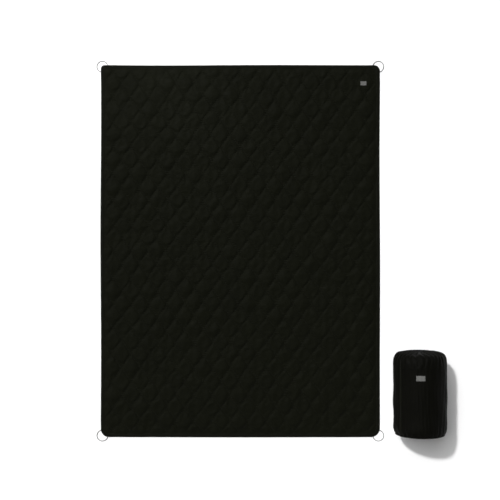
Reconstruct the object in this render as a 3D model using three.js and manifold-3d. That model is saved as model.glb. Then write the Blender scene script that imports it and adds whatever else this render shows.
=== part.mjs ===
// A quilted camp blanket lying flat, with a cord loop at each corner, beside its full stuff sack.
// Millimetres, +Z up. The origin is the centre of the blanket's underside; its long side runs along Y.
import * as THREE from "three";
import { mergeVertices } from "three/addons/utils/BufferGeometryUtils.js";
import Module from "manifold-3d";

// ---- Blanket: overall size and the heights of its layers ----
const WIDTH = 1500;
const LENGTH = 2000;
const HALF = new THREE.Vector2(WIDTH / 2, LENGTH / 2);
const CORNER_NAMES = ["rear_right", "rear_left", "front_left", "front_right"];
const CORNER_RADII = [32, 20, 44, 50]; // in the same order, anticlockwise from +X +Y

const FABRIC = 0.8; // a layer of cloth with its crimp
const GAP = 0.3; // clearance between neighbouring pieces
const LOFT = 21.5; // top of the quilted middle
const BACK_LIFT = 1.1; // the back rises this far to enter the binding
const FACE_EDGE_BOTTOM = 4; // underside of the face fabric where it enters the binding

const BINDING_WIDTH = 20;
const BINDING_HEIGHT = 5.9;
const BINDING_WALL = 1.2;
const FLAT_MARGIN = 22; // the flat border round the quilted middle
const RISE_END = 70; // distance from the edge at which the full loft is reached
const PATCH_LEG = 50; // length of a corner patch along each edge

const LABEL_SIZE = [32, 22, 0.6];
const LABEL_CENTRE = [661, 900];

// ---- Corner loops ----
const CORD_RADIUS = 1.5;
const CORD_SIDES = 8;
const LOOP_STEPS = 32;
// One loop seen from its corner, outwards along +x and +y: from the seam on one edge round to the other.
const LOOP_ROUTE = [
  [1.9, -35.2, 2.95], [8.3, -32.1, 2.7], [13.6, -27.3, 2.2], [17.5, -21.6, 1.8], [20.2, -15.0, 1.7],
  [21.2, -8.0, 1.6], [20.3, -1.0, 1.6], [17.5, 5.7, 1.6], [12.6, 12.6, 1.6], [5.7, 17.5, 1.6],
  [-1.0, 20.3, 1.6], [-8.0, 21.2, 1.6], [-15.0, 20.2, 1.7], [-21.6, 17.5, 1.8], [-27.3, 13.6, 2.2],
  [-32.1, 8.3, 2.7], [-35.2, 1.9, 2.95],
];

// ---- Stuff sack: a full cylinder lying on its side, base towards -Y and mouth towards +Y ----
const SACK_X = 942;
const SACK_BASE_Y = -968;
const SACK_AXIS_Z = 134; // less than the radius, because the sack sits flat on its underside
const SACK_WALL = 1;
const ROUND_STEPS = 48;
// Radius and distance from the base, outside of the cloth.
const SACK_PROFILE = [
  [126, 13], [134, 26], [138, 45], [139, 70], [139, 370], [137, 392],
  [132, 412], [120, 430], [98, 438], [70, 442], [42, 444],
];
const SACK_RADIUS = 139;
const STRAIGHT_FROM = 70;
const STRAIGHT_TO = 370;
const ROLL_INSET = 2.5; // the packed roll stays this far inside the cloth's outer face

const BASE_PANEL = [[0, 0], [60, 3], [110, 9], [124.5, 12.5]];
const PIPING_RING = { radius: 126.5, y: 10.4, thickness: 2 };
const PIPING_FLOOR = 0.6; // the piping stays clear of the ground

const SEAM_WIDTH = 10;
const SEAM_ANGLE = THREE.MathUtils.degToRad(55); // from straight up, towards -X
const SACK_LABEL = { width: 46, length: 27, y: 319, angle: THREE.MathUtils.degToRad(8.5) }; // angle as above

// ---- Drawcord channel, drawcord and cord lock, measured from the sack's axis and base ----
const HEM = { inner: 29, outer: 40.4, from: 436, to: 448, slit: 4 };
const DRAWCORD_Y = 442;
const DRAWCORD_RING = 35.2;
const STRAND_OFFSET = 1.8;
const STRAND_END = -14;
const DRAWCORD_STEPS = 60;

const BARREL = { radius: 8.5, bore: 6.5, from: 428.5, floor: 430.5, to: 447 };
const CROSS_HOLE = { width: 8, height: 4 };
const BUTTON = { radius: 6.1, from: 435, to: 452, holeFrom: 440.2, holeTo: 447.8 };
const BUTTON_POCKET = { radius: 4.9, depth: 3 };
const SPRING = { radius: 4, wire: 0.35, turns: 4, from: 431.2, to: 437.3, steps: 48 };

const wasm = await Module();
wasm.setup();

const part = new THREE.Group();

const cloth = (color, roughness = 0.85) =>
  new THREE.MeshStandardMaterial({ color, roughness, metalness: 0 });
const MATERIALS = {
  face: cloth(0x26271f),
  back: cloth(0x232420),
  batt: cloth(0xd8d8d2, 0.95),
  binding: cloth(0x1f201b, 0.75),
  cord: cloth(0x3a3b38, 0.8),
  label: cloth(0xb9bab4, 0.7),
  sack: cloth(0x22221f, 0.8),
  plastic: new THREE.MeshStandardMaterial({ color: 0x1a1a1a, roughness: 0.5, metalness: 0 }),
  steel: new THREE.MeshStandardMaterial({ color: 0xa8a8a8, roughness: 0.35, metalness: 1 }),
};

function add(parent, name, geometry, material) {
  const mesh = new THREE.Mesh(geometry, material);
  mesh.name = name;
  parent.add(mesh);
  return mesh;
}

// ---- Joining and cutting ----

function toSolid(geometry) {
  const plain = geometry.clone();
  plain.deleteAttribute("normal");
  plain.deleteAttribute("uv");
  const merged = mergeVertices(plain, 1e-3);
  const vertProperties = merged.attributes.position.array;
  const triVerts = new Uint32Array(merged.index.array);
  return new wasm.Manifold(new wasm.Mesh({ numProp: 3, vertProperties, triVerts }));
}

function toGeometry(solid) {
  const mesh = solid.getMesh();
  const geometry = new THREE.BufferGeometry();
  geometry.setAttribute("position", new THREE.BufferAttribute(mesh.vertProperties, 3));
  geometry.setIndex(new THREE.BufferAttribute(mesh.triVerts, 1));
  return geometry;
}

// ---- Blanket ----

// A rounded rectangle set in from the blanket's edge, anticlockwise, with the same point count for any inset.
function outline(inset, radii) {
  const arcSteps = 8;
  const points = [];
  radii.forEach((radius, corner) => {
    const signX = corner === 0 || corner === 3 ? 1 : -1;
    const signY = corner < 2 ? 1 : -1;
    const centreX = signX * (HALF.x - inset - radius);
    const centreY = signY * (HALF.y - inset - radius);
    for (let i = 0; i <= arcSteps; i++) {
      const angle = (corner + i / arcSteps) * (Math.PI / 2);
      points.push(new THREE.Vector2(
        centreX + radius * Math.cos(angle),
        centreY + radius * Math.sin(angle),
      ));
    }
  });
  return points;
}

const edgeRing = (inset, z) => ({
  points: outline(inset, CORNER_RADII.map((radius) => radius - inset)),
  z,
});
const marginRing = (inset, z) => ({
  points: outline(inset, CORNER_RADII.map(() => PATCH_LEG - inset)),
  z,
});
const middleRing = (z) => ({ points: outline(RISE_END, CORNER_RADII.map(() => 40)), z });

// A closed solid through a stack of rings: first ring capped facing down, last ring capped facing up.
function ringSolid(rings) {
  const count = rings[0].points.length;
  const position = rings.flatMap(({ points, z }) => points.flatMap((p) => [p.x, p.y, z]));
  const index = [];
  for (let r = 0; r < rings.length - 1; r++) {
    for (let i = 0; i < count; i++) {
      const next = (i + 1) % count;
      const a = r * count + i;
      const b = r * count + next;
      index.push(a, b, b + count, a, b + count, a + count);
    }
  }
  const lastStart = (rings.length - 1) * count;
  for (const [a, b, c] of THREE.ShapeUtils.triangulateShape(rings[0].points, [])) index.push(a, c, b);
  for (const [a, b, c] of THREE.ShapeUtils.triangulateShape(rings.at(-1).points, [])) {
    index.push(lastStart + a, lastStart + b, lastStart + c);
  }
  const geometry = new THREE.BufferGeometry();
  geometry.setAttribute("position", new THREE.Float32BufferAttribute(position, 3));
  geometry.setIndex(index);
  return geometry;
}

function faceFabric() {
  const edgeTop = FACE_EDGE_BOTTOM + FABRIC;
  return ringSolid([
    middleRing(LOFT - FABRIC),
    marginRing(FLAT_MARGIN, FACE_EDGE_BOTTOM),
    edgeRing(3, FACE_EDGE_BOTTOM),
    edgeRing(3, edgeTop),
    marginRing(FLAT_MARGIN, edgeTop),
    middleRing(LOFT),
  ]);
}

function insulationBatt() {
  const bottom = FABRIC + GAP;
  const edgeBottom = BACK_LIFT + FABRIC + GAP;
  const edgeTop = FACE_EDGE_BOTTOM - GAP;
  return ringSolid([
    marginRing(FLAT_MARGIN + 6, bottom),
    marginRing(FLAT_MARGIN + 2, edgeBottom),
    edgeRing(5, edgeBottom),
    edgeRing(5, edgeTop),
    marginRing(FLAT_MARGIN, edgeTop),
    middleRing(LOFT - FABRIC - GAP),
  ]);
}

function backFabric() {
  return ringSolid([
    marginRing(FLAT_MARGIN + 2, 0),
    marginRing(FLAT_MARGIN, BACK_LIFT),
    edgeRing(3, BACK_LIFT),
    edgeRing(3, BACK_LIFT + FABRIC),
    marginRing(FLAT_MARGIN, BACK_LIFT + FABRIC),
    marginRing(FLAT_MARGIN + 2, FABRIC),
  ]);
}

// The folded tape on one edge: a C section, open towards the blanket, extruded along the edge.
function bindingStrip(halfLength) {
  const top = BINDING_HEIGHT;
  const section = new THREE.Shape([
    [0, 0], [BINDING_WIDTH, 0], [BINDING_WIDTH, FABRIC], [BINDING_WALL, FABRIC],
    [BINDING_WALL, top - FABRIC], [BINDING_WIDTH, top - FABRIC], [BINDING_WIDTH, top], [0, top],
  ].map(([x, y]) => new THREE.Vector2(x, y)));
  const length = 2 * (halfLength - PATCH_LEG - GAP);
  const strip = new THREE.ExtrudeGeometry(section, { depth: length, bevelEnabled: false, steps: 1 });
  strip.translate(0, 0, -length / 2);
  const inwards = new THREE.Vector3(-1, 0, 0);
  const up = new THREE.Vector3(0, 0, 1);
  const along = new THREE.Vector3(0, 1, 0);
  return strip.applyMatrix4(new THREE.Matrix4().makeBasis(inwards, up, along));
}

// A corner of the folded tape, seen from its corner point: the blanket lies towards -x and -y.
function cornerPatch(radius) {
  const leg = PATCH_LEG;
  const body = new THREE.Shape();
  body.moveTo(0, -leg);
  body.lineTo(0, -radius);
  body.absarc(-radius, -radius, radius, 0, Math.PI / 2, false);
  body.lineTo(-leg, 0);
  body.lineTo(-leg, -BINDING_WIDTH);
  body.absarc(-leg, -leg, leg - BINDING_WIDTH, Math.PI / 2, 0, true);
  body.lineTo(0, -leg);

  const beyond = leg + 10;
  const pocketRadius = radius - BINDING_WALL;
  const pocket = new THREE.Shape();
  pocket.moveTo(-BINDING_WALL, -beyond);
  pocket.lineTo(-BINDING_WALL, -radius);
  pocket.absarc(-radius, -radius, pocketRadius, 0, Math.PI / 2, false);
  pocket.lineTo(-beyond, -BINDING_WALL);
  pocket.lineTo(-beyond, -beyond);
  pocket.lineTo(-BINDING_WALL, -beyond);

  const slab = (shape, from, to) => {
    const settings = { depth: to - from, bevelEnabled: false, steps: 1, curveSegments: 8 };
    return toSolid(new THREE.ExtrudeGeometry(shape, settings).translate(0, 0, from));
  };
  const whole = slab(body, 0, BINDING_HEIGHT);
  const hollow = slab(pocket, FABRIC, BINDING_HEIGHT - FABRIC);
  return toGeometry(whole.subtract(hollow));
}

function cordAlong(points, steps) {
  const section = new THREE.Shape();
  for (let i = 0; i < CORD_SIDES; i++) {
    const angle = (i / CORD_SIDES) * 2 * Math.PI;
    const x = CORD_RADIUS * Math.cos(angle);
    const y = CORD_RADIUS * Math.sin(angle);
    if (i === 0) section.moveTo(x, y);
    else section.lineTo(x, y);
  }
  const extrudePath = new THREE.CatmullRomCurve3(points);
  return new THREE.ExtrudeGeometry(section, { steps, extrudePath, bevelEnabled: false });
}

const blanket = new THREE.Group();
part.add(blanket);
add(blanket, "face_fabric", faceFabric(), MATERIALS.face);
add(blanket, "insulation_batt", insulationBatt(), MATERIALS.batt);
add(blanket, "back_fabric", backFabric(), MATERIALS.back);

["right", "rear", "left", "front"].forEach((side, turn) => {
  const acrossX = turn % 2 === 0;
  const group = new THREE.Group();
  group.rotation.z = turn * (Math.PI / 2);
  blanket.add(group);
  const strip = add(
    group,
    `binding_${side}`,
    bindingStrip(acrossX ? HALF.y : HALF.x),
    MATERIALS.binding,
  );
  strip.position.x = acrossX ? HALF.x : HALF.y;
});

CORNER_NAMES.forEach((corner, turn) => {
  const signX = turn === 0 || turn === 3 ? 1 : -1;
  const signY = turn < 2 ? 1 : -1;
  const group = new THREE.Group();
  group.position.set(signX * HALF.x, signY * HALF.y, 0);
  group.rotation.z = turn * (Math.PI / 2);
  blanket.add(group);
  add(group, `corner_patch_${corner}`, cornerPatch(CORNER_RADII[turn]), MATERIALS.binding);
  const route = LOOP_ROUTE.map((p) => new THREE.Vector3(...p));
  add(group, `corner_loop_${corner}`, cordAlong(route, LOOP_STEPS), MATERIALS.cord);
});

const quiltLabel = add(blanket, "quilt_label", new THREE.BoxGeometry(...LABEL_SIZE), MATERIALS.label);
quiltLabel.position.set(...LABEL_CENTRE, LOFT + GAP + LABEL_SIZE[2] / 2);

// ---- Stuff sack, in its own frame: y runs along the axis from the base, z is up from the axis ----

const sack = new THREE.Group();
sack.position.set(SACK_X, SACK_BASE_Y, SACK_AXIS_Z);
part.add(sack);

const revolve = (profile) =>
  new THREE.LatheGeometry(profile.map(([radius, y]) => new THREE.Vector2(radius, y)), ROUND_STEPS);

// Presses everything below a height flat, as the ground does to a full sack.
function flattenBelow(geometry, height) {
  const position = geometry.attributes.position;
  const lowest = height - SACK_AXIS_Z;
  for (let i = 0; i < position.count; i++) position.setZ(i, Math.max(position.getZ(i), lowest));
  return geometry;
}

const insetProfile = (inset) => SACK_PROFILE.map(([radius, y]) => [radius - inset, y - inset]);

function sackBody() {
  const [, firstY] = SACK_PROFILE[0];
  const [, lastY] = SACK_PROFILE.at(-1);
  const outside = flattenBelow(revolve([[0, firstY], ...SACK_PROFILE, [0, lastY]]), 0);
  const inner = insetProfile(SACK_WALL);
  const [firstRadius] = inner[0];
  const [mouthRadius] = inner.at(-1);
  const inside = flattenBelow(
    revolve([[0, firstY - 5], [firstRadius, firstY - 5], ...inner, [mouthRadius, lastY + 5], [0, lastY + 5]]),
    SACK_WALL,
  );
  return toGeometry(toSolid(outside).subtract(toSolid(inside)));
}

// The bagged blanket, rolled: it fills the sack to just short of the gathered mouth.
function packedRoll() {
  const endY = SACK_PROFILE[7][1] - 3;
  const filled = SACK_PROFILE.slice(0, 8).map(([radius, y]) => [
    radius - ROLL_INSET,
    Math.min(y + 1, endY),
  ]);
  return flattenBelow(revolve([[0, 2.5], [60, 5.5], [110, 12], ...filled, [0, endY]]), ROLL_INSET);
}

function basePanel() {
  const inner = BASE_PANEL.map(([radius, y]) => [radius, y + SACK_WALL]).reverse();
  return revolve([...BASE_PANEL, ...inner]);
}

function basePiping() {
  const { radius, y, thickness } = PIPING_RING;
  const circle = [];
  for (let i = 0; i <= 8; i++) {
    const angle = (i / 8) * 2 * Math.PI;
    circle.push([radius + thickness * Math.cos(angle), y + thickness * Math.sin(angle)]);
  }
  return flattenBelow(revolve(circle), PIPING_FLOOR);
}

function sideSeam() {
  const tape = new THREE.Shape();
  const low = SACK_RADIUS + GAP;
  tape.moveTo(low, STRAIGHT_FROM);
  tape.lineTo(low + FABRIC, STRAIGHT_FROM);
  tape.lineTo(low + FABRIC, STRAIGHT_TO);
  tape.lineTo(low, STRAIGHT_TO);
  const strip = new THREE.ExtrudeGeometry(tape, { depth: SEAM_WIDTH, bevelEnabled: false, steps: 1 });
  return strip.translate(0, 0, -SEAM_WIDTH / 2);
}

function sackLabel() {
  const low = SACK_RADIUS + GAP;
  const half = SACK_LABEL.width / 2 / SACK_RADIUS;
  const arc = new THREE.Shape();
  arc.absarc(0, 0, low + FABRIC, Math.PI / 2 - half, Math.PI / 2 + half, false);
  arc.absarc(0, 0, low, Math.PI / 2 + half, Math.PI / 2 - half, true);
  const settings = { depth: SACK_LABEL.length, bevelEnabled: false, steps: 1, curveSegments: 8 };
  const plate = new THREE.ExtrudeGeometry(arc, settings);
  return plate.rotateX(Math.PI / 2).translate(0, SACK_LABEL.y + SACK_LABEL.length / 2, 0);
}

// The channel at the mouth: a ring of C section whose slit faces the axis.
function mouthHem() {
  const { inner, outer, from, to, slit } = HEM;
  const slitFrom = (from + to - slit) / 2;
  const slitTo = slitFrom + slit;
  return revolve([
    [inner, slitFrom], [inner, from], [outer, from], [outer, to], [inner, to], [inner, slitTo],
    [inner + FABRIC, slitTo], [inner + FABRIC, to - FABRIC], [outer - FABRIC, to - FABRIC],
    [outer - FABRIC, from + FABRIC], [inner + FABRIC, from + FABRIC], [inner + FABRIC, slitFrom],
    [inner, slitFrom],
  ]);
}

// The cord goes round the channel once; its two ends come in through the slit and pass the lock.
function drawcord() {
  const at = (x, z) => new THREE.Vector3(x, DRAWCORD_Y, z);
  const strand = [STRAND_END, 0, 15, 28];
  const points = strand.map((z) => at(-STRAND_OFFSET, z));
  for (let degrees = 102; degrees <= 438; degrees += 12) {
    const angle = THREE.MathUtils.degToRad(degrees);
    points.push(at(DRAWCORD_RING * Math.cos(angle), DRAWCORD_RING * Math.sin(angle)));
  }
  points.push(...strand.reverse().map((z) => at(STRAND_OFFSET, z)));
  return cordAlong(points, DRAWCORD_STEPS);
}

function rod(radius, from, to) {
  const cylinder = new THREE.CylinderGeometry(radius, radius, to - from, 24);
  return toSolid(cylinder.translate(0, (from + to) / 2, 0));
}

function crossHole(from, to) {
  const through = 2 * BARREL.radius + 4;
  const block = new THREE.BoxGeometry(CROSS_HOLE.width, to - from, through);
  return toSolid(block.translate(0, (from + to) / 2, 0));
}

function lockBarrel() {
  const halfHole = CROSS_HOLE.height / 2;
  const shell = rod(BARREL.radius, BARREL.from, BARREL.to);
  const bore = rod(BARREL.bore, BARREL.floor, BARREL.to + 5);
  const hole = crossHole(DRAWCORD_Y - halfHole, DRAWCORD_Y + halfHole);
  return toGeometry(shell.subtract(bore).subtract(hole));
}

function lockButton() {
  const plunger = rod(BUTTON.radius, BUTTON.from, BUTTON.to);
  const pocket = rod(BUTTON_POCKET.radius, BUTTON.from - 5, BUTTON.from + BUTTON_POCKET.depth);
  const hole = crossHole(BUTTON.holeFrom, BUTTON.holeTo);
  return toGeometry(plunger.subtract(pocket).subtract(hole));
}

class Helix extends THREE.Curve {
  getPoint(t, target = new THREE.Vector3()) {
    const angle = t * SPRING.turns * 2 * Math.PI;
    const y = THREE.MathUtils.lerp(SPRING.from, SPRING.to, t);
    return target.set(SPRING.radius * Math.cos(angle), y, SPRING.radius * Math.sin(angle));
  }
}

function lockSpring() {
  const section = new THREE.Shape();
  section.absarc(0, 0, SPRING.wire, 0, 2 * Math.PI, false);
  const settings = { steps: SPRING.steps, extrudePath: new Helix(), bevelEnabled: false, curveSegments: 6 };
  return new THREE.ExtrudeGeometry(section, settings);
}

add(sack, "sack_body", sackBody(), MATERIALS.sack);
add(sack, "packed_roll", packedRoll(), MATERIALS.face);
add(sack, "sack_base_panel", basePanel(), MATERIALS.sack);
add(sack, "sack_base_piping", basePiping(), MATERIALS.binding);
const seam = add(sack, "sack_side_seam", sideSeam(), MATERIALS.binding);
seam.rotation.y = -Math.PI / 2 - SEAM_ANGLE;
const sackTab = add(sack, "sack_label", sackLabel(), MATERIALS.label);
sackTab.rotation.y = -SACK_LABEL.angle;
add(sack, "sack_mouth_hem", mouthHem(), MATERIALS.binding);
add(sack, "sack_drawcord", drawcord(), MATERIALS.cord);
add(sack, "cord_lock_barrel", lockBarrel(), MATERIALS.plastic);
add(sack, "cord_lock_button", lockButton(), MATERIALS.plastic);
add(sack, "cord_lock_spring", lockSpring(), MATERIALS.steel);

export default part;
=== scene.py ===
import math

import bmesh
import bpy
import numpy as np
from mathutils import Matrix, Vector
from mathutils.bvhtree import BVHTree


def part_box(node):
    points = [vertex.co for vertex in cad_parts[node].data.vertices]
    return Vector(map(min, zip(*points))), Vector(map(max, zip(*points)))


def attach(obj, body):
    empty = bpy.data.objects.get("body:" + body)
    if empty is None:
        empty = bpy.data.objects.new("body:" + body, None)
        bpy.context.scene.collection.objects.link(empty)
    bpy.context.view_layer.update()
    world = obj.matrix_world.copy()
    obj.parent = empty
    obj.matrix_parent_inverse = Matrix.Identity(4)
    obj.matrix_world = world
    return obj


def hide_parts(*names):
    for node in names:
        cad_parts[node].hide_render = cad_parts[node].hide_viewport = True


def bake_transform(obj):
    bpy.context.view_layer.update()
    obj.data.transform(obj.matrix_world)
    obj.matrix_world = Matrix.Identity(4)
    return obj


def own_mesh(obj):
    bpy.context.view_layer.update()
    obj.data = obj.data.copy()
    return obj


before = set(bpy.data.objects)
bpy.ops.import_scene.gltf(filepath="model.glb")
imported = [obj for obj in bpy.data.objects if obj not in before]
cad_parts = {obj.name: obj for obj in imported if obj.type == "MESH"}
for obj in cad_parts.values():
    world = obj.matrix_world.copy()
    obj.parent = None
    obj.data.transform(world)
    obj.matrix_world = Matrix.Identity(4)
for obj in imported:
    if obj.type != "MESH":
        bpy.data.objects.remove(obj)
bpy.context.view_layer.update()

MM = 0.001

# ---- Sizes, in metres, read from the frame or driven from here ----
EDGE = np.array([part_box("binding_right")[1].x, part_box("binding_rear")[1].y])
CORNERS = ["rear_right", "rear_left", "front_left", "front_right"]
CORNER_SIGNS = [(1, 1), (-1, 1), (-1, -1), (1, -1)]
CORNER_RADII = [32 * MM, 20 * MM, 44 * MM, 50 * MM]

STITCH_PITCH = 48.5 * MM  # between neighbouring wavy lines of quilting
STITCH_PERIOD = 139 * MM  # length of one full wave
STITCH_SWING = 0.9 * STITCH_PITCH / 2
STITCH_SHAPE = 0.9  # towards 0 the wave is a plain cosine, towards 1 a zigzag
STITCH_LINES = 30
FIRST_LINE = 41 * MM  # from the left edge
WAVE_TOP = 30 * MM  # from the rear edge to the first crest

TAPE_WIDTH = 20 * MM
PATCH_LEG = 50 * MM
TUCK = 5 * MM  # the tape's ends run this far in under the corner patches
TAPE_CLOTH = 0.6 * MM
TAPE_MIDDLE = 2.1 * MM  # height of the fold's outermost line
# The tape's upper face, as distance from the edge and height: from the fold to a crest by the outer stitches.
TAPE_SLOPE = np.array([(0, 3.4), (2.2, 3.4), (4, 4.3), (6, 5.2), (7.4, 5.7), (8.3, 5.6), (9, 5.0)]) * MM
TAPE_STITCH = 9 * MM  # from the edge to the outer row of stitches
TAPE_INNER_STITCH = 2 * MM  # from the tape's inner edge to the other row
FACE_INSET = 3 * MM  # the quilted layers stop this far inside the fold

FACE_COLUMNS = 6  # of mesh across each channel of the face
FACE_ROW = 8.7 * MM  # between the mesh's rows, along the blanket
FACE_TOP = 22 * MM  # no puff rises past this
SEAM_HEIGHT = 6.5 * MM  # of the quilting, above the ground
HEM_HEIGHT = 4.1 * MM  # of the face fabric under the tape
STITCH_LENGTH = 2.7 * MM
STITCH_SPACING = 3.6 * MM
QUILTING_LENGTH = 4.2 * MM
QUILTING_SPACING = 6.5 * MM
QUILTING_INSET = 24 * MM  # from the edge to where the quilting starts

LABEL_CENTRE = np.array([661, 900]) * MM
LABEL_SIZE = np.array([32, 22]) * MM
LABEL_CLOTH = 0.6 * MM
LABEL_STITCH = 1.6 * MM
LABEL_STITCH_SPACING = 2.2 * MM

CORD_DIAMETER = 3 * MM
# A corner loop seen from its corner, outwards along +x and +y, as in the CAD model.
LOOP_ROUTE = [
    (1.9, -35.2, 2.95), (8.3, -32.1, 2.7), (13.6, -27.3, 2.2), (17.5, -21.6, 1.8), (20.2, -15.0, 1.7),
    (21.2, -8.0, 1.6), (20.3, -1.0, 1.6), (17.5, 5.7, 1.6), (12.6, 12.6, 1.6), (5.7, 17.5, 1.6),
    (-1.0, 20.3, 1.6), (-8.0, 21.2, 1.6), (-15.0, 20.2, 1.7), (-21.6, 17.5, 1.8), (-27.3, 13.6, 2.2),
    (-32.1, 8.3, 2.7), (-35.2, 1.9, 2.95),
]

# Stuff sack: its axis runs along +Y from the base. Radii and distances are those of the CAD model.
SACK_LOW, SACK_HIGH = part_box("sack_body")
SACK_AXIS = Vector(((SACK_LOW.x + SACK_HIGH.x) / 2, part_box("sack_base_panel")[0].y, 134 * MM))
SACK_PROFILE = np.array([
    (125.5, 10.5), (134, 26), (138, 45), (139, 70), (139, 370), (137, 392),
    (132, 412), (120, 430), (98, 438), (70, 442), (42, 444), (38, 441),
]) * MM
SACK_RADIUS = 139 * MM
SACK_GRID = (288, 120)  # mesh columns around the sack and rows along it
BASE_RADIUS = 126.5 * MM
BASE_RISE = 13 * MM  # of the base panel, from its middle to its edge
PIPING_RING = 127.3 * MM
PIPING_Y = 11.4 * MM
PIPING_RADIUS = 2 * MM
SIDE_SEAM_WIDTH = 10 * MM
SIDE_SEAM_ENDS = (15 * MM, 404 * MM)
SEAM_ANGLE = math.radians(145)  # of the side seam, from +X over the top
PLEATS = 27
PLEAT_HEIGHT = 5 * MM  # of the tallest pleats
SACK_LABEL_WIDTH = 46 * MM
HEM_RING = 34.7 * MM
DRAWCORD_Y = 442 * MM
DRAWCORD_RING = 35.2 * MM
SPRING_TURNS = 4
ROLL_GAP = 8 * MM  # between the sack's cloth and the rolled quilt
ROLL_ENDS = (16 * MM, 425 * MM)
ROLL_TURN = 13 * MM  # thickness of one turn of the roll

CAMERA_HEIGHT = 5.0
VIEW_WIDTH = 2.69  # what the frame spans on the ground
VIEW_CENTRE = (0.052, 0.006)
SENSOR = 36.0

UP = (0.0, 0.0, 1.0)


# ---- Mesh helpers ----

def new_mesh(name, vertices, faces, finish, closed=False):
    mesh = bpy.data.meshes.new(name)
    mesh.from_pydata(np.asarray(vertices).reshape(-1, 3).tolist(), [], [list(map(int, f)) for f in faces])
    if closed:
        turn_outwards(mesh)
    mesh.materials.append(finish)
    mesh.polygons.foreach_set("use_smooth", [True] * len(mesh.polygons))
    mesh.update()
    piece = bpy.data.objects.new(name, mesh)
    bpy.context.scene.collection.objects.link(piece)
    return piece


def turn_outwards(mesh):
    edit = bmesh.new()
    edit.from_mesh(mesh)
    bmesh.ops.recalc_face_normals(edit, faces=edit.faces)
    edit.to_mesh(mesh)
    edit.free()


def grid_faces(columns, rows, wrap_columns=False, wrap_rows=False):
    """Quads over a columns x rows grid of vertices."""
    index = np.arange(columns * rows).reshape(columns, rows)
    if wrap_columns:
        index = np.vstack([index, index[:1]])
    if wrap_rows:
        index = np.hstack([index, index[:, :1]])
    quads = [index[:-1, :-1], index[1:, :-1], index[1:, 1:], index[:-1, 1:]]
    return np.stack(quads, axis=-1).reshape(-1, 4)


def swept(name, sections, finish):
    """A closed solid through a row of closed outlines: (stations, outline points, 3)."""
    stations, count = sections.shape[:2]
    faces = grid_faces(stations, count, wrap_rows=True).tolist()
    faces.append(list(range(count)))
    faces.append([(stations - 1) * count + i for i in range(count)])
    return new_mesh(name, sections, faces, finish, closed=True)


def slab(name, upper, lower, finish):
    """A closed thin solid between two grids of points of the same shape."""
    columns, rows = upper.shape[:2]
    top = grid_faces(columns, rows)
    below = top[:, ::-1] + columns * rows
    index = np.arange(columns * rows).reshape(columns, rows)
    rim = np.concatenate([index[:-1, 0], index[-1, :-1], index[:0:-1, -1], index[0, :0:-1]])
    after = np.roll(rim, -1)
    walls = np.stack([rim, rim + columns * rows, after + columns * rows, after], axis=-1)
    faces = np.vstack([top, below, walls])
    vertices = np.vstack([upper.reshape(-1, 3), lower.reshape(-1, 3)])
    return new_mesh(name, vertices, faces, finish, closed=True)


def joined_stitches(name, centres, directions, normal, finish, length=STITCH_LENGTH):
    """Short stitches of thread as one mesh: a slim six-pointed grain at each centre."""
    half = np.array([length / 2, 0.4 * MM, 0.35 * MM])
    normals = np.broadcast_to(normal, directions.shape)
    directions = directions / np.linalg.norm(directions, axis=1)[:, None]
    across = np.cross(normals, directions)
    axes = [directions * half[0], across * half[1], normals * half[2]]
    grains = np.stack([centres + sign * axis for axis in axes for sign in (1, -1)], axis=1)
    corner = [(0, 2, 4), (2, 1, 4), (1, 3, 4), (3, 0, 4), (2, 0, 5), (1, 2, 5), (3, 1, 5), (0, 3, 5)]
    faces = (np.arange(len(centres))[:, None, None] * 6 + np.array(corner)[None]).reshape(-1, 3)
    return new_mesh(name, grains, faces, finish)


def stitch_row(name, path, body, finish, normal=UP, spacing=STITCH_SPACING, length=STITCH_LENGTH):
    """A row of stitches along a path, which goes with a body."""
    centres, directions = along_path(path, spacing)
    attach(joined_stitches(name, centres, directions, normal, finish, length), body)


def travelled(path):
    """Distance along a path at each of its points."""
    return np.concatenate([[0], np.cumsum(np.linalg.norm(np.diff(path, axis=0), axis=1))])


def along_path(path, spacing):
    """Points and directions at even spacing along a path."""
    length = travelled(path)
    at = np.arange(spacing / 2, length[-1], spacing)
    points = np.stack([np.interp(at, length, path[:, i]) for i in range(3)], axis=-1)
    ahead = np.stack([np.interp(at + spacing / 4, length, path[:, i]) for i in range(3)], axis=-1)
    behind = np.stack([np.interp(at - spacing / 4, length, path[:, i]) for i in range(3)], axis=-1)
    return points, ahead - behind


def thicken(piece, thickness, offset):
    """Gives a sheet its thickness: offset -1 inwards, 0 to both sides."""
    wall = piece.modifiers.new("wall", "SOLIDIFY")
    wall.thickness = thickness
    wall.offset = offset


def coordinates(piece):
    points = np.zeros(len(piece.data.vertices) * 3)
    piece.data.vertices.foreach_get("co", points)
    return points.reshape(-1, 3)


def set_coordinates(piece, points):
    piece.data.vertices.foreach_set("co", np.asarray(points, float).ravel())
    piece.data.update()


def smoothstep(value, start, end):
    t = np.clip((value - start) / (end - start), 0, 1)
    return t * t * (3 - 2 * t)


def turned(turn, flat):
    """x and y of the points after quarter turns about the origin."""
    c, s = [(1, 0), (0, 1), (-1, 0), (0, -1)][turn]
    return np.stack([c * flat[..., 0] - s * flat[..., 1], s * flat[..., 0] + c * flat[..., 1]], axis=-1)


def waves(x, y, wavelength, seed, count=7):
    """Smooth random height over the plane, about -1 to 1, as a sum of plane waves."""
    rng = np.random.default_rng(seed)
    total = np.zeros(np.broadcast(x, y).shape)
    for _ in range(count):
        heading = rng.uniform(0, math.pi)
        number = 2 * math.pi / (wavelength * rng.uniform(0.7, 1.5))
        phase = rng.uniform(0, 2 * math.pi)
        total += np.sin(number * (x * math.cos(heading) + y * math.sin(heading)) + phase)
    return total / math.sqrt(count)


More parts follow.
